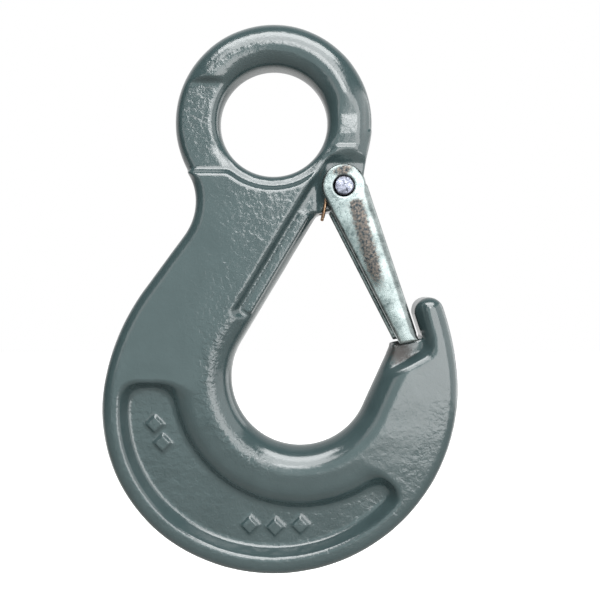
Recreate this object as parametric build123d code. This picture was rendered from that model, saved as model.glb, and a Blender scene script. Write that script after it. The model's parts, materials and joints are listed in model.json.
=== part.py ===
from build123d import *
import os
from math import acos, atan2, cos, degrees, hypot, pi, radians, sin

# Eye sling hook with a sprung safety latch, in millimetres.
# The hook hangs in the XZ plane with +Z up, Y is its thickness and the eye's centre is the origin.
# Outlines are drawn as (X, Z) pairs.

# Eye: round stock forged to a ring, with a punched bore that leaves a short straight land.
ring_outer_radius = 34.0
ring_stock_radius = 8.0
ring_mean_radius = ring_outer_radius - ring_stock_radius
eye_bore_radius = 18.5

# Outer outline of the body, from the ring round to the nose: headings in degrees, arcs tangent to each other.
neck_start_angle = 210.8
neck_radius = 19.5
neck_turn = 67.1
flank_length = 22.8
belly_arcs = [(77.0, 25.2), (54.5, 70.9), (62.6, 126.2), (101.7, 12.4)]
nose_tip_radius = 4.9
nose_tip_turn = 179.9
nose_face_length = 7.9

# Bowl and the inner edge of the shank.
bowl_centre = (9.15, -87.9)
bowl_radius = 23.85
tongue_heading = 245.4
shank_heading = 59.15
tongue_height = -76.3
throat_corner = (17.5, -31.6)

# Levels of the forging, measured from its middle plane.
web_level = 8.5
land_level = 6.0
lug_level = 4.5
tongue_level = 4.8
pocket_level = 3.9
cutter_reach = 12.0
die_draft = 36.0
outer_round = 4.2
bowl_round = 8.2
cut_corner = 3.0

# Lug that carries the latch, and the recess around it.
pivot = (23.8, -22.8)
lug_round = 5.6
lug_edge = [(33.6, -3.0), (31.9, -12.5), (30.6, -20.5)]
lug_root = [(10.0, -36.0), (10.0, -19.5), (21.5, -5.0)]
body_under_lug = [(25.0, -29.6), (25.2, -12.3), (0.0, -12.3)]
recess_top = -9.3
recess_side = 15.2
recess_slope_top = 20.5
recess_slope_foot = -17.5
recess_far = (44.0, -36.0)

# Flat land beside and under the eye, and the seat along the inner edge of the shank.
panel_top = 12.8
panel_bottom = -16.7
panel_side = -14.0
land_radius = 22.2
land_top = -8.0
seat_width = 6.0
seat_above = 12.0
seat_below = 42.5

# Seats for the latch's cheeks on the tongue.
tongue_seat_edge = [(36.0, -86.0), (43.0, -82.6), (51.5, -77.6), (48.4, -64.3), (46.6, -56.0)]
tongue_seat_back = [(30.0, -56.0), (30.0, -86.0)]

# Pocket in the belly.
pocket_inset = 8.8
pocket_inner_radius = 44.0
pocket_top = -91.0
pocket_end_angle = -51.0
pocket_corner = 2.6

# Latch: pressed channel that straddles the lug and the tongue. Its own axes start at the pivot: u runs
# along its web to the tip, and v runs outwards, square to the web.
latch_angle = 18.4
latch_width = 20.0
latch_sheet = 2.0
latch_cheek_radius = 7.4
latch_web_offset = 7.8
latch_web_start = 2.0
latch_tip_outer = (57.1, latch_web_offset)
latch_tip_inner = (56.2, 1.1)
latch_bend_radius = 2.8
latch_edge_round = 0.7
latch_notch_start = 54.9
latch_notch_width = 14.8

# Pin and its fits: pressed into the cheeks, turning in the lug.
pin_radius = 3.2
pin_lug_clearance = 0.08
pin_head_radius = 4.8
pin_head_height = 1.6
pin_end_height = 0.6
pin_head_round = 1.1
pin_end_chamfer = 0.35
pin_stake_length = 5.2
pin_stake_width = 0.9
pin_stake_depth = 0.5

# Double torsion spring round the pin: a coil and two legs on each side, joined by a bridge under the web.
wire_radius = 0.6
coil_radius = 4.4
coil_start_level = 5.35
coil_end_level = 7.13
leg_end = (16.9, -33.0)
leg_bend = (16.9, -27.5)
bridge_run = 15.5
wire_bend_radius = 2.0


def at(centre, radius, angle):
    """Point at a radius and an angle in degrees from a centre."""
    return (centre[0] + radius * cos(radians(angle)), centre[1] + radius * sin(radians(angle)))


def step(point, heading, length):
    """Point reached from another by a length along a heading."""
    return at(point, length, heading)


def arc_chain(start, heading, pieces):
    """Tangent arcs one after the other, each a (radius, turn) pair; a left turn is positive."""
    edges = []
    for radius, turn in pieces:
        tangent = (cos(radians(heading)), sin(radians(heading)))
        arc = JernArc(start=start, tangent=tangent, radius=radius, arc_size=turn)
        edges.append(arc)
        start = tuple(arc @ 1)[:2]
        heading += turn
    return edges, start, heading


def raised_to(point, heading, height):
    """Point reached from another along a heading, forwards or backwards, at a set height."""
    return step(point, heading, (height - point[1]) / sin(radians(heading)))


def ends_of(edges):
    """First and last points of a run of drawn edges."""
    return tuple(edges[0] @ 0)[:2], tuple(edges[-1] @ 1)[:2]


def neck_end():
    """Neck arc below the ring, with the point and heading where the flank starts."""
    start = at((0, 0), ring_outer_radius, neck_start_angle)
    return arc_chain(start, neck_start_angle + 90, [(neck_radius, -neck_turn)])


def outer_edges():
    """Neck, flank, belly and nose, from the ring to the foot of the nose's inner face."""
    neck, flank_start, flank_heading = neck_end()
    flank_end = step(flank_start, flank_heading, flank_length)
    turns = belly_arcs + [(nose_tip_radius, nose_tip_turn)]
    belly, face_start, face_heading = arc_chain(flank_end, flank_heading, turns)
    face_end = step(face_start, face_heading, nose_face_length)
    return neck + [Line(flank_start, flank_end)] + belly + [Line(face_start, face_end)]


def bowl_edges():
    """Tongue, bowl and the inner edge of the shank, up to the throat."""
    first = at(bowl_centre, bowl_radius, tongue_heading + 90)
    last = at(bowl_centre, bowl_radius, shank_heading + 90)
    bowl, _, _ = arc_chain(first, tongue_heading, [(bowl_radius, shank_heading - tongue_heading)])
    tongue = Line(raised_to(first, tongue_heading, tongue_height), first)
    shank = Line(last, raised_to(last, shank_heading, throat_corner[1]))
    return [tongue] + bowl + [shank]


def prism(face, level):
    """Solid from a face drawn in X and Z, equally deep on both sides of the middle plane."""
    return extrude(Plane.XZ * face, amount=level, both=True)


def die_cut(face, level):
    """Cutters on both sides, from a level outwards, with walls that open at the die's draft."""
    front = extrude(Plane.XZ.offset(level) * face, amount=cutter_reach - level, taper=-die_draft)
    return front + front.mirror(Plane.XZ)


def edges_at(solid, drawn, level):
    """Edges of a solid at plus and minus a level that follow drawn outline edges."""
    found = ShapeList()
    for edge in drawn:
        middle = edge @ 0.5
        for side in (-1, 1):
            spot = Vector(middle.X, side * level, middle.Y)
            found.append(solid.edges().sort_by_distance(spot)[0])
    return found


def body_plate():
    """Shank, belly, bowl and nose as one plate with rounded edges."""
    outer = outer_edges()
    inner = bowl_edges()
    neck_start, nose_foot = ends_of(outer)
    tongue_top, shank_top = ends_of(inner)
    closing = Polyline(shank_top, *body_under_lug, neck_start)
    face = make_face(outer + [Line(nose_foot, tongue_top)] + inner + [closing])
    face -= Circle(land_radius)
    plate = prism(face, web_level)
    plate = fillet(edges_at(plate, inner, web_level), bowl_round)
    return fillet(edges_at(plate, outer, web_level), outer_round)


def ring():
    """Round stock bent to the eye."""
    return Plane.XZ * Torus(ring_mean_radius, ring_stock_radius)


def lug():
    """Thin lug below the ring's end, with a round foot about the pivot."""
    foot = [at(pivot, lug_round, angle) for angle in (-8, -50, -92)]
    outline = [
        Polyline(*lug_edge, foot[0]),
        ThreePointArc(*foot),
        Polyline(foot[2], throat_corner, *lug_root, lug_edge[0]),
    ]
    return prism(make_face(outline), lug_level)


def land_cutter():
    """Flat land on the eye's left, under its bore and along the shank's inner edge."""
    _, shank_top = ends_of(bowl_edges())
    panel_height = panel_top - panel_bottom
    panel = Pos(panel_side - 14.0, panel_bottom + panel_height / 2) * Rectangle(28.0, panel_height)
    under = Circle(land_radius) & Pos(0, land_top - 12.0) * Rectangle(60.0, 24.0)
    low = step(shank_top, shank_heading, -seat_below)
    high = step(shank_top, shank_heading, seat_above)
    wall = [step(point, shank_heading + 90, seat_width) for point in (low, high)]
    clear = [step(point, shank_heading - 90, cutter_reach) for point in (high, low)]
    seat = make_face(Polyline(*wall, *clear, close=True))
    return die_cut(panel, land_level) + die_cut(under, land_level) + die_cut(seat, land_level)


def recess_cutter():
    """Recess on both sides of the lug, open to the throat."""
    right, bottom = recess_far
    outline = [
        (recess_side, bottom),
        (recess_side, recess_slope_foot),
        (recess_slope_top, recess_top),
        (right, recess_top),
        (right, bottom),
    ]
    face = make_face(Polyline(*outline, close=True))
    corners = face.vertices().sort_by(Axis.X)[:3].sort_by(Axis.Y)[1:]
    return die_cut(fillet(corners, cut_corner), lug_level)


def tongue_cutter():
    """Seats for the latch's cheeks, on both sides of the tongue."""
    face = make_face(Polyline(*tongue_seat_edge, *tongue_seat_back, close=True))
    corner = face.vertices().sort_by(Axis.X)[-1]
    return die_cut(fillet(corner, cut_corner), tongue_level)


def pocket_cutter():
    """Crescent pocket between the bowl and the rim of the belly."""
    outline = Pos(*bowl_centre) * Circle(pocket_inner_radius)
    end = at(bowl_centre, 120, pocket_end_angle)
    side = at(bowl_centre, 120, pocket_end_angle + 60)
    hollow = make_face(belly_outline(pocket_inset)) - outline
    hollow &= Pos(0, pocket_top - 50) * Rectangle(200, 100)
    hollow -= make_face(Polyline(bowl_centre, end, side, close=True))
    hollow = fillet(hollow.vertices(), pocket_corner)
    return die_cut(hollow, pocket_level)


def belly_outline(inset):
    """Belly moved inwards by an inset and closed through the bowl."""
    _, flank_start, flank_heading = neck_end()
    flank_end = step(flank_start, flank_heading, flank_length)
    start = step(flank_end, flank_heading + 90, inset)
    arcs, last, _ = arc_chain(start, flank_heading, [(r - inset, turn) for r, turn in belly_arcs[:3]])
    return arcs + [Line(last, start)]


def hook_body():
    """The whole forging."""
    solid = body_plate() + ring()
    solid -= land_cutter()
    solid -= recess_cutter()
    solid += lug()
    solid -= tongue_cutter()
    solid -= pocket_cutter()
    solid -= Plane.XZ * Cylinder(eye_bore_radius, 4 * web_level)
    return solid - Plane.XZ * Pos(*pivot) * Cylinder(pin_radius + pin_lug_clearance, 4 * web_level)


def latch_point(u, v):
    """Place of a latch point in X and Z."""
    along = step(pivot, latch_angle - 90, u)
    return step(along, latch_angle, v)


def latch_outline():
    """Side view of the latch: a round end about the pivot that tapers to the tip."""
    reach = hypot(*latch_tip_inner)
    lead = atan2(latch_tip_inner[1], latch_tip_inner[0]) - acos(latch_cheek_radius / reach)
    tangent = (latch_cheek_radius * cos(lead), latch_cheek_radius * sin(lead))
    web_top = (latch_web_start, latch_web_offset)
    corners = [latch_point(*uv) for uv in ((0, 0), tangent, latch_tip_inner, latch_tip_outer, web_top)]
    return make_face(Polyline(*corners, close=True)) + Pos(*pivot) * Circle(latch_cheek_radius)


def latch_box(u_range, v_range, width):
    """Block between two u and two v values, centred on the middle plane."""
    u_low, u_high = u_range
    v_low, v_high = v_range
    corners = [(u_low, v_low), (u_high, v_low), (u_high, v_high), (u_low, v_high)]
    outline = Polyline(*[latch_point(u, v) for u, v in corners], close=True)
    return prism(make_face(outline), width / 2)


def latch():
    """Pressed channel: two cheeks joined by the outer web."""
    half = latch_width / 2
    inside = latch_width - 2 * latch_sheet
    web_inner = latch_web_offset - latch_sheet
    x, z = latch_point((latch_web_start + latch_tip_outer[0]) / 2, latch_web_offset)
    solid = prism(latch_outline(), half)
    bends = [solid.edges().sort_by_distance(Vector(x, y, z))[0] for y in (-half, half)]
    solid = fillet(bends, latch_bend_radius)
    rims = solid.faces().sort_by(Axis.Y)[-1].edges() + solid.faces().sort_by(Axis.Y)[0].edges()
    rims = [edge for edge in rims if edge.distance_to(Vertex(x, 0, z)) > half + 0.5]
    solid = fillet(rims, latch_edge_round)
    solid -= latch_box((-20, 80), (-30, web_inner), inside)
    solid -= latch_box((-20, latch_web_start), (-30, 30), inside)
    solid -= latch_box((latch_notch_start, 80), (0, 30), latch_notch_width)
    return solid - Plane.XZ * Pos(*pivot) * Cylinder(pin_radius, 2 * latch_width)


def latch_pin():
    """Pin with a formed head behind and a cross-staked end in front."""
    length = latch_width + pin_end_height
    place = Plane.XZ.offset(-latch_width / 2) * Pos(*pivot)
    shank = Cylinder(pin_radius, length, align=(Align.CENTER, Align.CENTER, Align.MIN))
    shank = chamfer(shank.edges().sort_by(Axis.Z)[-1], pin_end_chamfer)
    head = Cylinder(pin_head_radius, pin_head_height, align=(Align.CENTER, Align.CENTER, Align.MAX))
    head = fillet(head.edges().sort_by(Axis.Z)[0], pin_head_round)
    slot = Pos(0, 0, length - pin_stake_depth / 2) * Box(pin_stake_length, pin_stake_width, pin_stake_depth)
    pin = shank + head - Rot(0, 0, 20) * slot - Rot(0, 0, 110) * slot
    return place * pin


def latch_spring():
    """One wire: leg, coil and half the bridge in front, and their mirror image behind."""
    reach = (leg_bend[0] - pivot[0], leg_bend[1] - pivot[1])
    start_angle = degrees(atan2(reach[1], reach[0]) + 2 * pi - acos(coil_radius / hypot(*reach)))
    turns = 1 + (start_angle - latch_angle) / 360
    height = coil_end_level - coil_start_level
    coil_start = at(pivot, coil_radius, start_angle)
    coil_end = latch_point(0, coil_radius)
    corner = latch_point(bridge_run, coil_radius)
    leg = [(x, -coil_start_level, z) for x, z in (leg_end, leg_bend, coil_start)]
    leg = FilletPolyline(*leg, radius=wire_bend_radius)
    bridge = [(x, -coil_end_level, z) for x, z in (coil_end, corner)] + [(corner[0], 0, corner[1])]
    bridge = FilletPolyline(*bridge, radius=wire_bend_radius)
    coil = Helix(pitch=height / turns, height=height, radius=coil_radius, lefthand=True)
    coil = Plane.XZ.offset(coil_start_level) * Pos(*pivot) * Rot(0, 0, start_angle) * coil
    path = Wire([*leg.edges(), *coil.edges(), *bridge.edges()])
    section = Plane(origin=path @ 0, z_dir=path % 0) * Circle(wire_radius)
    half = sweep(section, path, transition=Transition.TRANSFORMED, is_frenet=True)
    return half + half.mirror(Plane.XZ)


os.makedirs("parts", exist_ok=True)
nodes = {
    "hook_body": hook_body(),
    "latch": latch(),
    "latch_pin": latch_pin(),
    "latch_spring": latch_spring(),
}
for name, solid in nodes.items():
    export_step(solid, f"parts/{name}.step")
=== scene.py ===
import json
import math

import bpy
import numpy as np
import openvdb as vdb
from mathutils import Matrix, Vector, noise


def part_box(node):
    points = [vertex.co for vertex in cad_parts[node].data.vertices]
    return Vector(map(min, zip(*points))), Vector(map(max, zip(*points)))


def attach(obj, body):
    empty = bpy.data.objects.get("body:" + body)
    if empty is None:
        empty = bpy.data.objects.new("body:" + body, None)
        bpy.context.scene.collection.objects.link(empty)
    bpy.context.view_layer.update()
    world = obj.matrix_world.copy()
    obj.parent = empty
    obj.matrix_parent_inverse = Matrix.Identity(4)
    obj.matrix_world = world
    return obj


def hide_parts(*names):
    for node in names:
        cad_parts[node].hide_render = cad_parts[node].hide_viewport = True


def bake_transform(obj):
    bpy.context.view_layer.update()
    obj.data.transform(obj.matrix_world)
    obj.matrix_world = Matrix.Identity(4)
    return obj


# Eye hook with latch. Shapes are worked out in millimetres and turned to metres for a mesh.
# The hook hangs in the XZ plane, Y is its thickness, and the middle of the eye is the origin.
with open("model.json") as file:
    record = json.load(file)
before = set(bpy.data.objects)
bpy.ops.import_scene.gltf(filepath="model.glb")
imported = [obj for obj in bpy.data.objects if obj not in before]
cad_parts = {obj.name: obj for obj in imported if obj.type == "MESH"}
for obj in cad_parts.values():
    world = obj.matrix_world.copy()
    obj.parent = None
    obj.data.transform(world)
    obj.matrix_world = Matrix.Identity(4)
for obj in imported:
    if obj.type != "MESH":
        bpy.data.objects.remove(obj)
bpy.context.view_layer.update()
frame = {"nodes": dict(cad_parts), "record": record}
mm = 0.001

mounts = {mount["name"]: mount for mount in frame["record"]["mounts"]}
pinLow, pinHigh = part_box("latch_pin")
pivot = ((pinLow.x + pinHigh.x) / 2 / mm, (pinLow.z + pinHigh.z) / 2 / mm)
print("frame loaded, latch pivot at", [round(value, 2) for value in pivot])


def unit(angle):
    return np.array([math.cos(math.radians(angle)), math.sin(math.radians(angle))])


def drawRuns(start, heading, runs):
    # each run goes on smoothly from the last: a number is a straight length,
    # a pair is an arc's radius and turn
    edges = []
    here = np.array(start, float)
    for run in runs:
        if isinstance(run, tuple):
            radius, turn = run
            side = math.copysign(1, turn)
            centre = here + side * radius * unit(heading + 90)
            first = heading - 90 * side
            there = centre + radius * unit(first + turn)
            edges.append((here, there, centre, radius, first, turn))
            heading += turn
        else:
            there = here + run * unit(heading)
            edges.append((here, there, None, 0, 0, 0))
        here = there
    return edges


def drawLines(points):
    points = [np.array(point, float) for point in points]
    return [(a, b, None, 0, 0, 0) for a, b in zip(points, points[1:])]


def edgeDistance(x, z, edge):
    a, b, centre, radius, first, turn = edge
    if centre is None:
        run = b - a
        along = (x - a[0]) * run[0] + (z - a[1]) * run[1]
        t = np.clip(along / (run @ run), 0, 1)
        return np.hypot(x - a[0] - t * run[0], z - a[1] - t * run[1])
    toEnds = np.minimum(np.hypot(x - a[0], z - a[1]), np.hypot(x - b[0], z - b[1]))
    angle = np.degrees(np.arctan2(z - centre[1], x - centre[0]))
    swept = ((angle - first) * math.copysign(1, turn)) % 360
    toArc = np.abs(np.hypot(x - centre[0], z - centre[1]) - radius)
    return np.where(swept <= abs(turn), toArc, toEnds)


def edgePoints(edge):
    a, b, centre, radius, first, turn = edge
    if centre is None:
        return [a]
    count = max(2, int(abs(turn)))
    return [centre + radius * unit(first + turn * i / count) for i in range(count)]


def outlineField(x, z, groups):
    # distance inside a closed outline, and the rounding that the nearest group of edges asks for
    nearest = np.full(x.shape, 1e9)
    rounding = np.zeros(x.shape)
    inside = np.zeros(x.shape, bool)
    points = []
    for edges, radius in groups:
        for edge in edges:
            distance = edgeDistance(x, z, edge)
            rounding = np.where(distance < nearest, radius, rounding)
            nearest = np.minimum(nearest, distance)
            points += edgePoints(edge)
    for a, b in zip(points, points[1:] + points[:1]):
        if a[1] != b[1]:
            crosses = (a[1] > z) != (b[1] > z)
            inside ^= crosses & (x < (b[0] - a[0]) * (z - a[1]) / (b[1] - a[1]) + a[0])
    return np.where(inside, nearest, -nearest), rounding


def soften(field, passes):
    for i in range(passes):
        edged = np.pad(field, 1, mode="edge")
        around = edged[2:, 1:-1] + edged[:-2, 1:-1] + edged[1:-1, 2:] + edged[1:-1, :-2]
        field = (around + 4 * field) / 8
    return field


def beyond(x, z, point, direction):
    # how far past a point, in a direction
    along = unit(direction)
    return (x - point[0]) * along[0] + (z - point[1]) * along[1]


def smoothMin(a, b, reach):
    # solids are distance fields here, below zero inside; reach is how wide the two are blended
    h = np.maximum(reach - np.abs(a - b), 0) / reach
    return np.minimum(a, b) - h * h * reach / 4


def smoothMax(a, b, reach):
    return -smoothMin(-a, -b, reach)


def ramp(value, start, run):
    # nothing up to the start, then rising evenly to one
    return np.clip((value - start) / run, 0, 1)


def hill(distance, reach):
    # one at the middle, falling smoothly to nothing at the reach
    t = np.clip(distance / reach, 0, 1)
    return (1 - t * t) ** 2


def roundedSlab(depth, y, level, radius):
    # a plate as deep as level each side of the middle, its edges rounded to radius
    a = radius - depth
    b = np.abs(y) - (level - radius)
    return np.hypot(np.maximum(a, 0), np.maximum(b, 0)) + np.minimum(np.maximum(a, b), 0) - radius


def draftedCut(solid, region, y, level, draft, foot, rim):
    # cut down to a level wherever region is below zero, with walls that lean out at the draft angle
    rise = np.abs(y) - level
    wall = rise * math.sin(math.radians(draft)) - region * math.cos(math.radians(draft))
    return smoothMax(solid, smoothMin(rise, wall, foot), rim)


def fieldMesh(field, corner, voxel):
    grid = vdb.FloatGrid()
    grid.copyFromArray(np.ascontiguousarray(field, dtype=np.float32))
    grid.transform = vdb.createLinearTransform(voxelSize=voxel)
    points, quads = grid.convertToQuads(isovalue=0.0)
    return points.astype(float) + np.array(corner), quads


def relax(points, quads, passes):
    # evens out the small steps left by the grid, and keeps the volume
    ends = np.concatenate([quads[:, [0, 1]], quads[:, [1, 2]], quads[:, [2, 3]], quads[:, [3, 0]]])
    share = np.bincount(ends.ravel(), minlength=len(points))[:, None]
    for i in range(passes):
        for strength in (0.5, -0.52):
            total = np.zeros_like(points)
            np.add.at(total, ends[:, 0], points[ends[:, 1]])
            np.add.at(total, ends[:, 1], points[ends[:, 0]])
            points = points + strength * (total / share - points)
    return points


def pointNormals(points, quads):
    across = points[quads[:, 2]] - points[quads[:, 0]]
    down = points[quads[:, 3]] - points[quads[:, 1]]
    faceNormals = np.cross(across, down)
    normals = np.zeros_like(points)
    for i in range(4):
        np.add.at(normals, quads[:, i], faceNormals)
    return normals / np.maximum(np.linalg.norm(normals, axis=1, keepdims=True), 1e-9)


def makePiece(name, points, faces, body, replaced, material):
    mesh = bpy.data.meshes.new(name)
    corners = (np.asarray(points) * mm).tolist()
    mesh.from_pydata(corners, [], [list(map(int, face)) for face in faces])
    mesh.validate()
    mesh.shade_smooth()
    piece = bpy.data.objects.new(name, mesh)
    bpy.context.scene.collection.objects.link(piece)
    piece.data.materials.append(material)
    if body:
        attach(piece, body)
    if replaced:
        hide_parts(replaced)
    print(name, len(mesh.vertices), "points", len(mesh.polygons), "faces")
    return piece


def linear(hexColour):
    values = [int(hexColour[i:i + 2], 16) / 255 for i in (1, 3, 5)]
    return [v / 12.92 if v <= 0.04045 else ((v + 0.055) / 1.055) ** 2.4 for v in values] + [1.0]


def newMaterial(name):
    material = bpy.data.materials.new(name)
    material.use_nodes = True
    material.node_tree.nodes.clear()
    return material


def addNode(tree, kind, settings=None, inputs=None, links=None, stops=()):
    node = tree.nodes.new(kind)
    for key, value in (settings or {}).items():
        setattr(node, key, value)
    for key, value in (inputs or {}).items():
        node.inputs[key].default_value = value
    for key, source in (links or {}).items():
        tree.links.new(source, node.inputs[key])
    for i, (position, colour) in enumerate(stops):
        node.color_ramp.elements[i].position = position
        node.color_ramp.elements[i].color = linear(colour)
    return node


paintLook = {
    "colour": "#242f30",
    "colourHigh": "#293435",
    "wornAndShaded": "#1f1a17",  # where the latch's end has rubbed through to scale, made darker still as painted shade under the latch's end
    "roughness": 0.17,
    "forgedSize": 1.7,  # mm between the finer pits
    "forgedDepth": 0.2,
    "peelSize": 1.3,  # mm between the crests of the orange peel
    "peelDepth": 0.012,  # mm
    "grainSize": 0.6,
    "patchSize": 9,  # mm across the faint changes of tone
}


def powderCoat():
    # grey-green polyester powder coat on a shot-blasted forging:
    # it gives a satin gloss with orange peel over dull pits
    look = paintLook
    material = newMaterial("powderCoatedForging")
    tree = material.node_tree
    place = addNode(tree, "ShaderNodeTexCoord").outputs["Object"]
    patches = addNode(
        tree, "ShaderNodeTexNoise",
        inputs={"Scale": 1 / (look["patchSize"] * mm), "Detail": 3.0},
        links={"Vector": place},
    )
    tone = addNode(
        tree, "ShaderNodeValToRGB",
        links={"Fac": patches.outputs["Fac"]},
        stops=[(0.3, look["colour"]), (0.75, look["colourHigh"])],
    )
    peel = addNode(
        tree, "ShaderNodeTexNoise",
        inputs={"Scale": 1 / (look["peelSize"] * mm), "Detail": 2.0, "Roughness": 0.45},
        links={"Vector": place},
    )
    grain = addNode(
        tree, "ShaderNodeTexNoise",
        inputs={"Scale": 1 / (look["grainSize"] * mm), "Detail": 2.0},
        links={"Vector": place},
    )
    peelBump = addNode(
        tree, "ShaderNodeBump",
        inputs={"Strength": 1.0, "Distance": look["peelDepth"] * mm},
        links={"Height": peel.outputs["Fac"]},
    )
    # the mesh says how rough the forging is under the coat
    forged = addNode(tree, "ShaderNodeAttribute", {"attribute_name": "forgedSkin"}).outputs["Fac"]
    pits = addNode(
        tree, "ShaderNodeTexNoise",
        inputs={
            "Scale": 1 / (look["forgedSize"] * mm),
            "Detail": 3.0,
            "Roughness": 0.5,
            "Distortion": 0.6,
        },
        links={"Vector": place},
    )
    pitHeight = addNode(
        tree, "ShaderNodeMath", {"operation": "MULTIPLY"},
        links={0: pits.outputs["Fac"], 1: forged},
    )
    pitBump = addNode(
        tree, "ShaderNodeBump",
        inputs={"Strength": 1.0, "Distance": look["forgedDepth"] * mm},
        links={"Height": pitHeight.outputs["Value"], "Normal": peelBump.outputs["Normal"]},
    )
    roughness = addNode(
        tree, "ShaderNodeMapRange",
        inputs={"To Min": look["roughness"] - 0.05, "To Max": look["roughness"] + 0.06},
        links={"Value": grain.outputs["Fac"]},
    )
    # and where the coat is rubbed away and painted shade under the latch's end darkens it, which
    # the grain breaks up
    wornAndShaded = addNode(tree, "ShaderNodeAttribute", {"attribute_name": "wornAndShaded"}).outputs["Fac"]
    gaps = addNode(
        tree, "ShaderNodeMapRange",
        inputs={"From Min": 0.3, "From Max": 0.7, "To Min": -0.9, "To Max": 0.0},
        links={"Value": grain.outputs["Fac"]},
    )
    patchy = addNode(
        tree, "ShaderNodeMath", {"operation": "MULTIPLY_ADD", "use_clamp": True},
        inputs={1: 1.6},
        links={0: wornAndShaded, 2: gaps.outputs["Result"]},
    )
    colour = addNode(
        tree, "ShaderNodeMix", {"data_type": "RGBA"},
        inputs={7: linear(look["wornAndShaded"])},
        links={0: patchy.outputs["Value"], 6: tone.outputs["Color"]},
    )
    dulled = addNode(
        tree, "ShaderNodeMath", {"operation": "MULTIPLY_ADD"},
        inputs={1: 0.4},
        links={0: patchy.outputs["Value"], 2: roughness.outputs["Result"]},
    )
    shader = addNode(
        tree, "ShaderNodeBsdfPrincipled",
        inputs={"IOR": 1.5},
        links={
            "Base Color": colour.outputs[2],
            "Roughness": dulled.outputs["Value"],
            "Normal": pitBump.outputs["Normal"],
        },
    )
    addNode(tree, "ShaderNodeOutputMaterial", links={"Surface": shader.outputs["BSDF"]})
    return material


zincLook = {
    "bright": "#7b8281",
    "dull": "#434b4b",
    # the two darker tones paint a dark reflection down each cheek, and a dull spot above the pin
    "darkReflectionAndSpot": "#1d2326",
    "darkReflectionAndSpotPale": "#4a443f",
    "roughness": 0.27,
    "mottleSize": 1.1,  # mm; the plating's crystals are finer and would not show
    "mottleDepth": 0.03,
}
pinLook = {
    "bright": "#7a7c87",
    "dull": "#1c1e23",
    "darkReflectionAndSpot": "#2b2c31",
    "darkReflectionAndSpotPale": "#4a4b50",
    "roughness": 0.22,
    "mottleSize": 1.7,
    "mottleDepth": 0.2,
}
wireLook = {
    "bright": "#a38468",
    "dull": "#7a6150",
    "darkReflectionAndSpot": "#4b3a2e",
    "darkReflectionAndSpotPale": "#6a5444",
    "roughness": 0.32,
    "mottleSize": 0.5,
    "mottleDepth": 0.01,
}


plating = {
    "cloudSize": 6,  # mm across the duller patches where it is handled
    "speckSize": 0.9,  # mm across the specks in the painted dark reflection and the dull spot
}


def platedMetal(name, look):
    # bright zinc with a clear passivate: fine crystals and a cool grey-white sheen
    material = newMaterial(name)
    tree = material.node_tree
    place = addNode(tree, "ShaderNodeTexCoord").outputs["Object"]
    mottle = addNode(
        tree, "ShaderNodeTexNoise",
        inputs={"Scale": 1 / (look["mottleSize"] * mm), "Detail": 4.0, "Roughness": 0.75},
        links={"Vector": place},
    )
    cloud = addNode(
        tree, "ShaderNodeTexNoise",
        inputs={"Scale": 1 / (plating["cloudSize"] * mm), "Detail": 3.0, "Roughness": 0.6},
        links={"Vector": place},
    )
    mixed = addNode(
        tree, "ShaderNodeMix", {"data_type": "FLOAT"},
        inputs={0: 0.5},
        links={2: mottle.outputs["Fac"], 3: cloud.outputs["Fac"]},
    )
    tone = addNode(
        tree, "ShaderNodeValToRGB",
        links={"Fac": mixed.outputs[0]},
        stops=[(0.36, look["dull"]), (0.62, look["bright"])],
    )
    # the mesh gives a painted dark reflection down each cheek and a dull spot above the pin, the
    # mottle breaks their edge up
    reflectionAndSpotMask = addNode(tree, "ShaderNodeAttribute", {"attribute_name": "darkReflectionAndSpot"}).outputs["Fac"]
    ragged = addNode(
        tree, "ShaderNodeMath", {"operation": "MULTIPLY_ADD"},
        inputs={1: 1.6, 2: -0.8},
        links={0: mottle.outputs["Fac"]},
    )
    edge = addNode(
        tree, "ShaderNodeMath", {"operation": "ADD"},
        links={0: reflectionAndSpotMask, 1: ragged.outputs["Value"]},
    )
    spread = addNode(
        tree, "ShaderNodeMapRange",
        inputs={"From Min": 0.12, "From Max": 0.62},
        links={"Value": edge.outputs["Value"]},
    )
    specks = addNode(
        tree, "ShaderNodeTexNoise",
        inputs={"Scale": 1 / (plating["speckSize"] * mm), "Detail": 2.0},
        links={"Vector": place},
    )
    reflectionAndSpotTone = addNode(
        tree, "ShaderNodeValToRGB",
        links={"Fac": specks.outputs["Fac"]},
        stops=[(0.36, look["darkReflectionAndSpot"]), (0.66, look["darkReflectionAndSpotPale"])],
    )
    colour = addNode(
        tree, "ShaderNodeMix", {"data_type": "RGBA"},
        links={
            0: spread.outputs["Result"],
            6: tone.outputs["Color"],
            7: reflectionAndSpotTone.outputs["Color"],
        },
    )
    bump = addNode(
        tree, "ShaderNodeBump",
        inputs={"Strength": 1.0, "Distance": look["mottleDepth"] * mm},
        links={"Height": mottle.outputs["Fac"]},
    )
    roughness = addNode(
        tree, "ShaderNodeMapRange",
        inputs={
            "From Min": 0.3,
            "From Max": 0.7,
            "To Min": look["roughness"] - 0.06,
            "To Max": look["roughness"] + 0.1,
        },
        links={"Value": mottle.outputs["Fac"]},
    )
    shader = addNode(
        tree, "ShaderNodeBsdfPrincipled",
        inputs={"Metallic": 1.0},
        links={
            "Base Color": colour.outputs[2],
            "Roughness": roughness.outputs["Result"],
            "Normal": bump.outputs["Normal"],
        },
    )
    addNode(tree, "ShaderNodeOutputMaterial", links={"Surface": shader.outputs["BSDF"]})
    return material


paint = powderCoat()
zinc = platedMetal("zincPlatedSteel", zincLook)
pinZinc = platedMetal("zincPlatedPin", pinLook)
springSteel = platedMetal("temperedSpringWire", wireLook)
print("materials ready")


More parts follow.
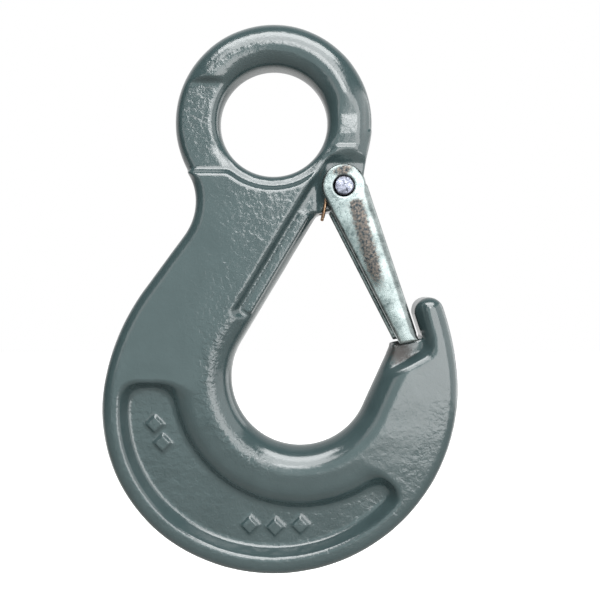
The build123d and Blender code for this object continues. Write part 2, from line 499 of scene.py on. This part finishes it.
hook = {
    "voxel": 0.55,
    # outlines: headings and turns are in degrees
    "ringRadius": 34.0,
    "stockRadius": 8.0,
    "pinBore": 3.4,
    "boreRadius": mounts["eye"]["dims"]["r_mm"],
    "neckAngle": 210.8,
    "outerRuns": [
        (19.5, -67.1), 22.8, (77.0, 25.2), (54.5, 70.9),
        (62.6, 126.2), (101.7, 12.4), (4.9, 179.9), 7.9,
    ],
    "bowlCentre": (9.15, -87.9),
    "bowlRadius": 23.85,
    "tongueHeading": 245.4,
    "tongueHeight": -76.3,
    "shankHeading": 59.15,
    "throatHeight": -31.6,
    "underLug": [(25.0, -29.6), (25.2, -12.3), (0.0, -12.3)],
    "outerRound": 4.2,
    "bowlRound": 8.2,
    "sharpRound": 1.0,
    # levels are measured from the middle of the forging, drafts from square
    "webLevel": 8.5,
    "landLevel": 6.0,
    "lugLevel": 4.5,
    "tongueLevel": 4.8,
    "pocketLevel": 3.9,
    "draft": 36.0,
    "recessDraft": 45.0,
    "pocketDraft": 27.0,
    # flat land beside and under the eye
    "panelSide": -14.0,
    "panelTop": 12.8,
    "panelBottom": -16.7,
    "landRadius": 22.2,
    "landTop": -8.0,
    # seat along the inner edge of the shank, and the strip that stands on it
    "seatWidth": 6.0,
    "seatAbove": 12.0,
    "seatBelow": 42.5,
    "seatReach": 12.0,
    "stripMiddle": (3.6, -21.5),
    "stripHalf": (1.75, 19.5),
    "stripHeight": 0.55,
    # recess round the lug: a point on its slope and the way the slope faces
    "recessSide": 16.4,
    "recessTop": -11.4,
    "recessBottom": -36.0,
    "recessSlope": ((16.2, -18.1), 147.1),
    "lugRadius": 5.6,
    "lugFrom": -8,
    "lugTurn": -84,
    "lugRound": 0.8,
    "lugOuter": [(33.6, -3.0), (31.9, -12.5), (30.6, -20.5)],
    "lugRoot": [(10.0, -36.0), (10.0, -19.5), (21.5, -5.0), (33.6, -3.0)],
    "lugRise": 0.45,  # slope of the lug's face up to the end of the ring
    "lugRiseFrom": -14.4,
    "lugRiseRun": 3,
    # seat for the latch on the nose
    "tongueLedge": ((43.4, -82.0), -61.5),
    "tongueFoot": ((51.5, -77.6), 12.8),
    "tongueSide": 32.0,
    # pocket in the belly, with a round bead between it and the bowl
    "pocketInset": 8.8,
    "pocketTop": -91.0,
    "pocketEnd": 39.0,
    "beadStart": 35.2,
    "beadRadius": 10.6,
    # the die flattens the ring's end; the shape is heights in Z and what each adds to the level
    "crestLevel": 7.1,
    "crestShape": [(-9.0, -0.2), (-8.1, -0.5), (-5.3, 0.0)],
    "crestTop": 2,  # above this it grows back to round stock
    "crestGrowth": 0.12,
    # raised lozenges stand in for the lettering
    "markHeight": 0.8,
    "markHalf": 2.2,
    "marks": [(-40.5, -103.5), (-37.8, -109.9), (-8.0, -138.0), (0.6, -138.7), (9.2, -138.0)],
}


def hookOutline():
    size = hook
    start = size["ringRadius"] * unit(size["neckAngle"])
    outer = drawRuns(start, size["neckAngle"] + 90, size["outerRuns"])
    centre = np.array(size["bowlCentre"])
    first = centre + size["bowlRadius"] * unit(size["tongueHeading"] + 90)
    last = centre + size["bowlRadius"] * unit(size["shankHeading"] + 90)
    rise = (size["tongueHeight"] - first[1]) / math.sin(math.radians(size["tongueHeading"]))
    tongueTop = first + rise * unit(size["tongueHeading"])
    climb = (size["throatHeight"] - last[1]) / math.sin(math.radians(size["shankHeading"]))
    shankTop = last + climb * unit(size["shankHeading"])
    bowlTurn = size["shankHeading"] - size["tongueHeading"]
    inner = drawLines([tongueTop, first])
    inner += drawRuns(first, size["tongueHeading"], [(size["bowlRadius"], bowlTurn)])
    inner += drawLines([last, shankTop])
    foot = drawLines([outer[-1][1], tongueTop])
    closing = drawLines([shankTop, *size["underLug"], outer[0][0]])
    groups = [
        (outer, size["outerRound"]),
        (foot, size["sharpRound"]),
        (inner, size["bowlRound"]),
        (closing, size["sharpRound"]),
    ]
    return groups, shankTop


def lugOutline(shankTop):
    size = hook
    near = np.array(pivot) + size["lugRadius"] * unit(size["lugFrom"])
    far = np.array(pivot) + size["lugRadius"] * unit(size["lugFrom"] + size["lugTurn"])
    edges = drawLines([*size["lugOuter"], near])
    edges += drawRuns(near, size["lugFrom"] - 90, [(size["lugRadius"], size["lugTurn"])])
    edges += drawLines([far, shankTop, *size["lugRoot"]])
    return edges


def hookRegions(x, z, depth, shankTop):
    # parts of the side view that are cut down or raised, each below zero inside;
    # the last number of each blend is its width in mm
    size = hook
    fromEye = np.hypot(x, z)
    panel = smoothMax(x - size["panelSide"], z - size["panelTop"], 2.0)
    panel = smoothMax(panel, size["panelBottom"] - z, 2.0)
    land = smoothMax(fromEye - size["landRadius"], z - size["landTop"], 2.0)

    across = beyond(x, z, shankTop, size["shankHeading"] + 90)
    along = beyond(x, z, shankTop, size["shankHeading"])
    seat = smoothMax(across - size["seatWidth"], along - size["seatAbove"], 2.0)
    seat = smoothMax(seat, -size["seatBelow"] - along, 2.0)
    seat = smoothMax(seat, -size["seatReach"] - across, 1.0)
    wide = np.abs(across - size["stripMiddle"][0]) - size["stripHalf"][0]
    tall = np.abs(along - size["stripMiddle"][1]) - size["stripHalf"][1]
    strip = smoothMax(wide, tall, 0.8)

    recess = smoothMax(size["recessSide"] - x, z - size["recessTop"], 2.5)
    recess = smoothMax(recess, beyond(x, z, *size["recessSlope"]), 4.0)
    recess = smoothMax(recess, size["recessBottom"] - z, 1.0)
    lugEdges = [(lugOutline(shankTop), size["lugRound"])]
    lugDepth = outlineField(x, z, lugEdges)[0]

    tongue = smoothMax(beyond(x, z, *size["tongueLedge"]), beyond(x, z, *size["tongueFoot"]), 3.0)
    tongue = smoothMax(tongue, size["tongueSide"] - x, 1.0)
    pocket = smoothMax(size["pocketInset"] - depth, z - size["pocketTop"], 6.0)
    pocket = smoothMax(pocket, beyond(x, z, size["bowlCentre"], size["pocketEnd"]), 5.0)

    marks = np.full(x.shape, 1e3)
    for markX, markZ in size["marks"]:
        lozenge = (np.abs(x - markX) + np.abs(z - markZ)) * math.sqrt(0.5) - size["markHalf"]
        marks = np.minimum(marks, lozenge)
    return {
        "fromEye": fromEye, "panel": panel, "land": land, "seat": seat, "strip": strip,
        "recess": recess, "lug": lugDepth, "tongue": tongue, "pocket": pocket, "marks": marks,
    }


def hookField(x, y, z):
    size = hook
    flatX, flatZ = np.meshgrid(x, z, indexing="ij")
    groups, shankTop = hookOutline()
    depth, rounding = outlineField(flatX, flatZ, groups)
    part = hookRegions(flatX, flatZ, depth, shankTop)
    part["depth"], part["rounding"] = depth, soften(rounding, 6)
    centreX, centreZ = size["bowlCentre"]
    part["fromBowl"] = np.hypot(flatX - centreX, flatZ - centreZ)
    part = {name: layer[:, None, :] for name, layer in part.items()}
    x, y, z = x[:, None, None], y[None, :, None], z[None, None, :]

    solid = roundedSlab(part["depth"], y, size["webLevel"], part["rounding"])
    solid = smoothMax(solid, size["landRadius"] - part["fromEye"], 1.0)
    stock = part["fromEye"] - (size["ringRadius"] - size["stockRadius"])
    ring = np.hypot(stock, y) - size["stockRadius"]
    growth = size["crestGrowth"] * np.maximum(z - size["crestTop"], 0) ** 1.2
    crest = size["crestLevel"] + growth
    crest = crest + np.interp(z, *zip(*size["crestShape"]))
    ring = smoothMax(ring, np.abs(y) - crest, 0.5)
    solid = smoothMin(solid, ring, 2.0)
    for name in ("panel", "land", "seat"):
        solid = draftedCut(solid, part[name], y, size["landLevel"], size["draft"], 0.9, 0.8)
    strip = np.maximum(part["strip"], np.abs(y) - size["landLevel"] - size["stripHeight"])
    solid = smoothMin(solid, strip, 0.5)

    lugLift = size["lugRise"] * np.clip(z - size["lugRiseFrom"], 0, size["lugRiseRun"])
    lugLevel = size["lugLevel"] + lugLift
    solid = draftedCut(solid, part["recess"], y, lugLevel, size["recessDraft"], 1.0, 0.9)
    solid = smoothMin(solid, roundedSlab(part["lug"], y, lugLevel, size["lugRound"]), 1.0)
    solid = draftedCut(solid, part["tongue"], y, size["tongueLevel"], size["draft"], 1.0, 1.1)

    drop = size["beadRadius"] - size["webLevel"]
    outwards = np.maximum(part["fromBowl"] - size["beadStart"], 0)
    bead = np.hypot(outwards, np.abs(y) + drop) - size["beadRadius"]
    rise = np.abs(y) - size["pocketLevel"]
    lean = math.radians(size["pocketDraft"])
    walls = smoothMin(rise * math.sin(lean) - part["pocket"] * math.cos(lean), bead, 6.0)
    solid = smoothMax(solid, smoothMin(rise, walls, 1.0), 0.8)
    marks = smoothMax(part["marks"], rise - size["markHeight"], 0.7)
    solid = smoothMin(solid, marks, 0.9)

    solid = smoothMax(solid, size["boreRadius"] - part["fromEye"], 1.0)
    fromPin = np.hypot(x - pivot[0], z - pivot[1])
    return np.maximum(solid, size["pinBore"] - fromPin)


scale = {
    "forgedSize": 2.2,  # mm across the shallow pits that scale leaves under the coat
    "forgedDepth": 0.07,
    "allOverSize": 7.0,
    "allOverDepth": 0.05,
    "seed": 3,
    "leastRough": 0.22,
    # rough patches: how rough, the middle in X and Z, how squeezed each way, the reach
    "patches": [
        (1.0, (-1, -33), (0.9, 1), 24),
        (0.8, (-15, -66), (1, 0.8), 26),
        (0.55, (-26, -2), (1, 0.8), 17),
    ],
    # rough bands along the left of the bowl, on the belly and on top of the ring:
    # how rough, the radius, the reach
    "crease": (0.9, 31, 6),
    "belly": (0.4, 43, 4),
    "ringTop": (0.4, 26, 6),
    "wallShare": 0.35,  # how much of it the walls keep
    # a patch where the latch's end rests: rubbed paint, darkened further as painted shade under the
    # latch
    "wornShadeSpot": (43.5, -79.0),
    "wornShadeReach": 7.5,
    "wornShadeLevel": 5.4,
}


def forgedSkin(points, normals):
    # how rough each spot of the forging is: worst on the flat of the shank,
    # least on the rims and round the bore
    x, y, z = points.T
    fromEye = np.hypot(x, z)
    fromBowl = np.hypot(x - hook["bowlCentre"][0], z - hook["bowlCentre"][1])
    rough = scale["leastRough"]
    for height, middle, squeeze, reach in scale["patches"]:
        away = np.hypot((x - middle[0]) * squeeze[0], (z - middle[1]) * squeeze[1])
        rough = rough + height * hill(away, reach)
    height, radius, reach = scale["crease"]
    leftOfBowl = ramp(-x, -4, 12) * ramp(-z, 60, 20)
    rough += height * hill(np.abs(fromBowl - radius), reach) * leftOfBowl
    height, radius, reach = scale["belly"]
    rough += height * ramp(fromBowl, radius, reach) * ramp(-z, 88, 8)
    height, radius, reach = scale["ringTop"]
    overEye = ramp(-x, -10, 12) * ramp(z, 0, 10)
    rough += height * hill(np.abs(fromEye - radius), reach) * overEye
    share = scale["wallShare"]
    flat = share + (1 - share) * ramp(np.abs(normals[:, 1]), 0.8, 0.15)
    return rough * flat * offBore(points)


def offBore(points):
    # nothing in the eye's bore, which stays true, and one a little way from it
    return ramp(np.hypot(points[:, 0], points[:, 2]) - hook["boreRadius"], 0.6, 2)


def roughen(points, normals, rough):
    # without a seed the noise vectors start from the clock, and the pits move from run to run
    noise.seed_set(scale["seed"])
    lift = np.zeros(len(points))
    for i, place in enumerate(points):
        spot = Vector(place)
        wide = noise.noise(spot / scale["allOverSize"])
        pits = noise.noise((spot + 1.5 * noise.noise_vector(spot / 5)) / scale["forgedSize"])
        lift[i] = scale["allOverDepth"] * wide + rough[i] * scale["forgedDepth"] * pits
    return points + normals * (lift * offBore(points))[:, None]


def buildHook():
    low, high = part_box("hook_body")
    voxel = hook["voxel"]
    corner = [value / mm - 3 * voxel for value in low]
    axes = [np.arange(a, b / mm + 3 * voxel, voxel) for a, b in zip(corner, high)]
    points, quads = fieldMesh(hookField(*axes), corner, voxel)
    points = relax(points, quads, 2)
    normals = pointNormals(points, quads)
    rough = forgedSkin(points, normals)
    points = roughen(points, normals, rough)
    piece = makePiece("hookForging", points, quads, "hook", "hook_body", paint)
    # the latch's end rubs on the flat it rests against, and the patch is also painted shade under
    # the latch's end
    x, y, z = points.T
    away = np.hypot(x - scale["wornShadeSpot"][0], z - scale["wornShadeSpot"][1])
    wornShadeMask = hill(away, scale["wornShadeReach"]) * (np.abs(y) < scale["wornShadeLevel"])
    for name, values in (("forgedSkin", rough), ("wornAndShaded", wornShadeMask)):
        skin = piece.data.attributes.new(name, "FLOAT", "POINT")
        skin.data.foreach_set("value", values.astype(np.float32))


buildHook()


latch = {
    "voxel": 0.36,
    "angle": 18.4,
    "cheekRadius": 7.4,
    "webOffset": 7.8,
    "webStart": 2.0,
    "sheet": 2.0,
    "width": 20.0,
    "tipOuter": (57.1, 7.8),
    "tipInner": (56.2, 1.1),
    "bendRound": 2.8,
    "edgeRound": 0.8,
    "notchStart": 54.9,
    "notchWidth": 14.8,
    "boreRadius": 3.4,
    "crown": 0.42,  # mm that pressing leaves in the middle of each cheek
    # a painted dark reflection down the middle of each cheek, and a short dull spot above the pin
    "reflectionMiddle": 2.2,
    "reflectionLean": 0.05,
    "reflectionReach": 4.0,
    "reflectionEnds": (5, 38),
    "spotMiddle": (-5.0, 1.4),
    "spotReach": 2.6,
}


def latchField(u, y, v):
    # u runs from the pivot to the tip, v outwards across the cheek
    size = latch
    flatU, flatV = np.meshgrid(u, v, indexing="ij")
    fromPivot = np.hypot(flatU, flatV)
    reach = math.hypot(*size["tipInner"])
    lead = math.atan2(size["tipInner"][1], size["tipInner"][0])
    lead -= math.acos(size["cheekRadius"] / reach)
    touch = (size["cheekRadius"] * math.cos(lead), size["cheekRadius"] * math.sin(lead))
    webTop = (size["webStart"], size["webOffset"])
    rims = drawLines([webTop, (0, 0), touch, size["tipInner"], size["tipOuter"]])
    web = drawLines([size["tipOuter"], webTop])
    groups = [(rims, size["edgeRound"]), (web, size["bendRound"])]
    depth, rounding = outlineField(flatU, flatV, groups)
    rounding = soften(np.where(flatU < 1.0, size["edgeRound"], rounding), 4)
    depth = np.maximum(depth, size["cheekRadius"] - fromPivot)
    lower = np.interp(flatU, (touch[0], size["tipInner"][0]), (touch[1], size["tipInner"][1]))
    middle = (lower + size["webOffset"]) / 2
    sway = np.clip((flatV - middle) / np.maximum(size["webOffset"] - middle, 1), -1.2, 1.2)
    level = size["width"] / 2 - size["crown"] * sway * sway * ramp(flatU, -4, 14)

    layers = (depth, rounding, level, fromPivot)
    depth, rounding, level, fromPivot = [layer[:, None, :] for layer in layers]
    u, y, v = u[:, None, None], np.abs(y[None, :, None]), v[None, None, :]
    inside = size["width"] / 2 - size["sheet"]
    solid = roundedSlab(depth, y, level, rounding)
    channel = smoothMax(y - inside, v - size["webOffset"] + size["sheet"], 1.0)
    solid = smoothMax(solid, -channel, 0.4)
    solid = smoothMax(solid, -np.maximum(y - inside, u - size["webStart"]), 0.6)
    notch = np.maximum(y - size["notchWidth"] / 2, size["notchStart"] - u)
    notch = np.maximum(notch, -v)
    solid = smoothMax(solid, -notch, 0.5)
    return smoothMax(solid, size["boreRadius"] - fromPivot, 0.5)


def buildLatch():
    voxel = latch["voxel"]
    edge = latch["cheekRadius"] + 3 * voxel
    corner = [-edge, -latch["width"] / 2 - 3 * voxel, -edge]
    far = [latch["tipOuter"][0] + 3 * voxel, -corner[1], latch["webOffset"] + 3 * voxel]
    axes = [np.arange(a, b, voxel) for a, b in zip(corner, far)]
    points, quads = fieldMesh(latchField(*axes), corner, voxel)
    points = relax(points, quads, 2)
    along, across = unit(latch["angle"] - 90), unit(latch["angle"])
    u, y, v = points.T
    x = pivot[0] + u * along[0] + v * across[0]
    z = pivot[1] + u * along[1] + v * across[1]
    points = np.stack([x, y, z], 1)
    piece = makePiece("latchPressing", points, quads, "safety_latch", "latch", zinc)
    # painted dark reflection down the middle of each cheek, and a dull spot above the pin
    first, last = latch["reflectionEnds"]
    ends = ramp(u, first, 1.5) * ramp(-u, -last, 9)
    offMiddle = np.abs(v - latch["reflectionMiddle"] + latch["reflectionLean"] * u)
    paintedReflection = hill(offMiddle, latch["reflectionReach"]) * ends
    spotU, spotV = latch["spotMiddle"]
    spot = hill(np.hypot(u - spotU, (v - spotV) * 0.5), latch["spotReach"])
    outside = np.abs(y) > latch["width"] / 2 - 1
    darkReflectionAndSpot = piece.data.attributes.new("darkReflectionAndSpot", "FLOAT", "POINT")
    darkReflectionAndSpot.data.foreach_set("value", (np.maximum(paintedReflection, spot) * outside).astype(np.float32))


buildLatch()

node = frame["nodes"]["latch_pin"]
node.data.materials.clear()
node.data.materials.append(pinZinc)


spring = {
    "wireRadius": 0.6,
    "coilRadius": 4.4,
    "startLevel": 5.35,
    "endLevel": 7.13,
    "blendLevels": (5.95, 6.53),
    "legEnd": (16.9, -33.0),
    "legBend": (16.9, -27.5),
    "bendRadius": 2.0,
    "bridgeRun": 15.5,
    "startAngle": 156.06,
    "coilSteps": 72,
}


def roundCorners(points, radius):
    # runs joined by arcs
    points = [Vector(point) for point in points]
    path = [points[0]]
    for a, b, c in zip(points, points[1:], points[2:]):
        back, on = (a - b).normalized(), (c - b).normalized()
        half = back.angle(on) / 2
        trim = radius / math.tan(half)
        centre = b + (back + on).normalized() * radius / math.sin(half)
        first, last = b + back * trim - centre, b + on * trim - centre
        path += [centre + first.slerp(last, i / 8) for i in range(9)]
    return path + [points[-1]]


def wirePiece(name, path):
    path = [np.array(point, float) for point in path]
    sides, rings = 14, []
    across = None
    for i, here in enumerate(path):
        along = path[min(i + 1, len(path) - 1)] - path[max(i - 1, 0)]
        along /= np.linalg.norm(along)
        if across is None:
            across = np.cross(along, (0.3, 0.8, 0.5))
        across = across - along * (across @ along)
        across /= np.linalg.norm(across)
        other = np.cross(along, across)
        turns = [2 * math.pi * k / sides for k in range(sides)]
        radius = spring["wireRadius"]
        spokes = [radius * (math.cos(t) * across + math.sin(t) * other) for t in turns]
        rings.append((here, along, spokes))
    points, faces = [], []
    first, last = rings[0], rings[-1]
    bulge = 0.25
    rows = [(first[0] - first[1] * bulge, first[2], 0.6)]
    rows += [(here, spokes, 1.0) for here, along, spokes in rings]
    rows += [(last[0] + last[1] * bulge, last[2], 0.6)]
    for here, spokes, size in rows:
        points += [here + spoke * size for spoke in spokes]
    for row in range(len(rows) - 1):
        for k in range(sides):
            a, b = row * sides + k, row * sides + (k + 1) % sides
            faces.append((a, b, b + sides, a + sides))
    faces.append(tuple(range(sides))[::-1])
    faces.append(tuple(len(points) - sides + k for k in range(sides)))
    return makePiece(name, points, faces, None, None, springSteel)


def buildSpring():
    size = spring
    coilEnd = np.array(pivot) + size["coilRadius"] * unit(latch["angle"])
    corner = coilEnd + size["bridgeRun"] * unit(latch["angle"] - 90)
    coilStart = np.array(pivot) + size["coilRadius"] * unit(size["startAngle"])
    sweepAngle = 360 + size["startAngle"] - latch["angle"]
    pieces = []
    for name, side in (("springFront", -1), ("springRear", 1)):
        start, end = side * size["startLevel"], side * size["endLevel"]
        leg = [(x, start, z) for x, z in (size["legEnd"], size["legBend"], coilStart)]
        leg = roundCorners(leg, size["bendRadius"])
        coil = []
        steps = size["coilSteps"]
        for i in range(1, steps + 1):
            angle = size["startAngle"] - sweepAngle * i / steps
            x, z = np.array(pivot) + size["coilRadius"] * unit(angle)
            coil.append((x, start + (end - start) * i / steps, z))
        half = wirePiece(name, leg + coil)
        # the leg's end of the coil stays with the hook, the bridge's end goes with the latch
        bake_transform(half)
        pieces.append(half)
    level = size["endLevel"]
    run = [(coilEnd[0], -level, coilEnd[1]), (corner[0], -level, corner[1])]
    run += [(x, -y, z) for x, y, z in reversed(run)]
    bridge = wirePiece("springBridge", roundCorners(run, size["bendRadius"]))
    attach(bridge, "safety_latch")
    for piece in pieces + [bridge]:
        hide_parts("latch_spring")


buildSpring()
print("latch and spring ready")


studio = {
    "distance": 0.230,
    "eyeLine": (0.0102, -0.0549),
    "view": 0.2088,
    "middle": (0.0091, -0.0612),
    "floor": -0.4,
    "floorHalf": 3,
    "hookMiddle": (0.01, 0.0, -0.055),
    "boxDistance": 1.2,
    # direction seen from the hook, size as angles, brightness and colour
    "softBoxes": [
        ("fillSoftBox", -8, -6, 30, 46, 2.3, "#daecec"),
        ("frontSoftBox", 2, 39, 44, 26, 10.0, "#ffffff"),
        ("lowFrontSoftBox", 3, 21, 14, 12.5, 15.0, "#ffffff"),
        ("rightSoftBox", 21.5, -3, 33, 50, 7.4, "#ffffff"),
        ("sideSoftBox", 84, 5, 88, 60, 2.6, "#ffffff"),
        ("leftSoftBox", -31, 6, 16, 24, 2.6, "#ffffff"),
        ("overheadSoftBox", 0, 62, 60, 22, 14.0, "#ffffff"),
    ],
}


def buildStudio():
    scene = bpy.context.scene
    scene.view_settings.view_transform = "Standard"
    camera = bpy.data.cameras.new("camera")
    camera.sensor_width = 36
    camera.lens = camera.sensor_width * studio["distance"] / studio["view"]
    camera.shift_x = (studio["middle"][0] - studio["eyeLine"][0]) / studio["view"]
    camera.shift_y = (studio["middle"][1] - studio["eyeLine"][1]) / studio["view"]
    camera.clip_start = 0.01
    cameraObject = bpy.data.objects.new("camera", camera)
    cameraObject.location = (studio["eyeLine"][0], -studio["distance"], studio["eyeLine"][1])
    cameraObject.rotation_euler = (math.radians(90), 0, 0)
    scene.collection.objects.link(cameraObject)
    scene.camera = cameraObject

    world = bpy.data.worlds.new("studio")
    scene.world = world
    world.use_nodes = True
    # brighter behind the hook than in front, so that only the soft boxes show in the paint
    place = addNode(world.node_tree, "ShaderNodeTexCoord").outputs["Generated"]
    split = addNode(world.node_tree, "ShaderNodeSeparateXYZ", links={"Vector": place})
    fade = addNode(
        world.node_tree, "ShaderNodeMapRange", {"interpolation_type": "SMOOTHSTEP"},
        inputs={"From Min": 0.05, "From Max": 0.6, "To Min": 0.05, "To Max": 1.0},
        links={"Value": split.outputs["Y"]},
    )
    background = world.node_tree.nodes["Background"]
    background.inputs["Color"].default_value = linear("#ffffff")
    world.node_tree.links.new(fade.outputs["Result"], background.inputs["Strength"])

    middle = Vector(studio["hookMiddle"])
    for name, azimuth, elevation, wide, tall, radiance, colour in studio["softBoxes"]:
        distance = studio["boxDistance"]
        a, e = math.radians(azimuth), math.radians(elevation)
        towards = Vector((math.sin(a) * math.cos(e), -math.cos(a) * math.cos(e), math.sin(e)))
        light = bpy.data.lights.new(name, "AREA")
        light.shape = "RECTANGLE"
        light.color = linear(colour)[:3]
        light.size = 2 * distance * math.tan(math.radians(wide / 2))
        light.size_y = 2 * distance * math.tan(math.radians(tall / 2))
        light.energy = radiance * math.pi * light.size * light.size_y
        lamp = bpy.data.objects.new(name, light)
        lamp.location = middle + towards * distance
        lamp.rotation_euler = (-towards).to_track_quat("-Z", "Y").to_euler()
        lamp.visible_camera = False
        scene.collection.objects.link(lamp)

    mesh = bpy.data.meshes.new("floor")
    half = studio["floorHalf"]
    sides = ((-half, -half), (half, -half), (half, half), (-half, half))
    corners = [(x, y, studio["floor"]) for x, y in sides]
    mesh.from_pydata(corners, [], [(0, 1, 2, 3)])
    floor = bpy.data.objects.new("floor", mesh)
    scene.collection.objects.link(floor)
    card = newMaterial("paleFloorCard")
    tree = card.node_tree
    place = addNode(tree, "ShaderNodeTexCoord").outputs["Object"]
    along = addNode(tree, "ShaderNodeSeparateXYZ", links={"Vector": place}).outputs["Y"]
    glow = addNode(
        tree, "ShaderNodeMapRange",
        inputs={"From Min": 0.1, "From Max": 0.5, "To Min": 0.0, "To Max": 0.7},
        links={"Value": along},
    )
    fade = addNode(
        tree, "ShaderNodeValToRGB",
        links={"Fac": glow.outputs["Result"]},
        stops=[(0.0, "#8e8e8c"), (0.6, "#eeeeec")],
    )
    shader = addNode(
        tree, "ShaderNodeBsdfPrincipled",
        inputs={"Roughness": 0.9, "Emission Color": linear("#ffffff")},
        links={"Base Color": fade.outputs["Color"], "Emission Strength": glow.outputs["Result"]},
    )
    addNode(tree, "ShaderNodeOutputMaterial", links={"Surface": shader.outputs["BSDF"]})
    floor.data.materials.append(card)


buildStudio()
print("studio ready")
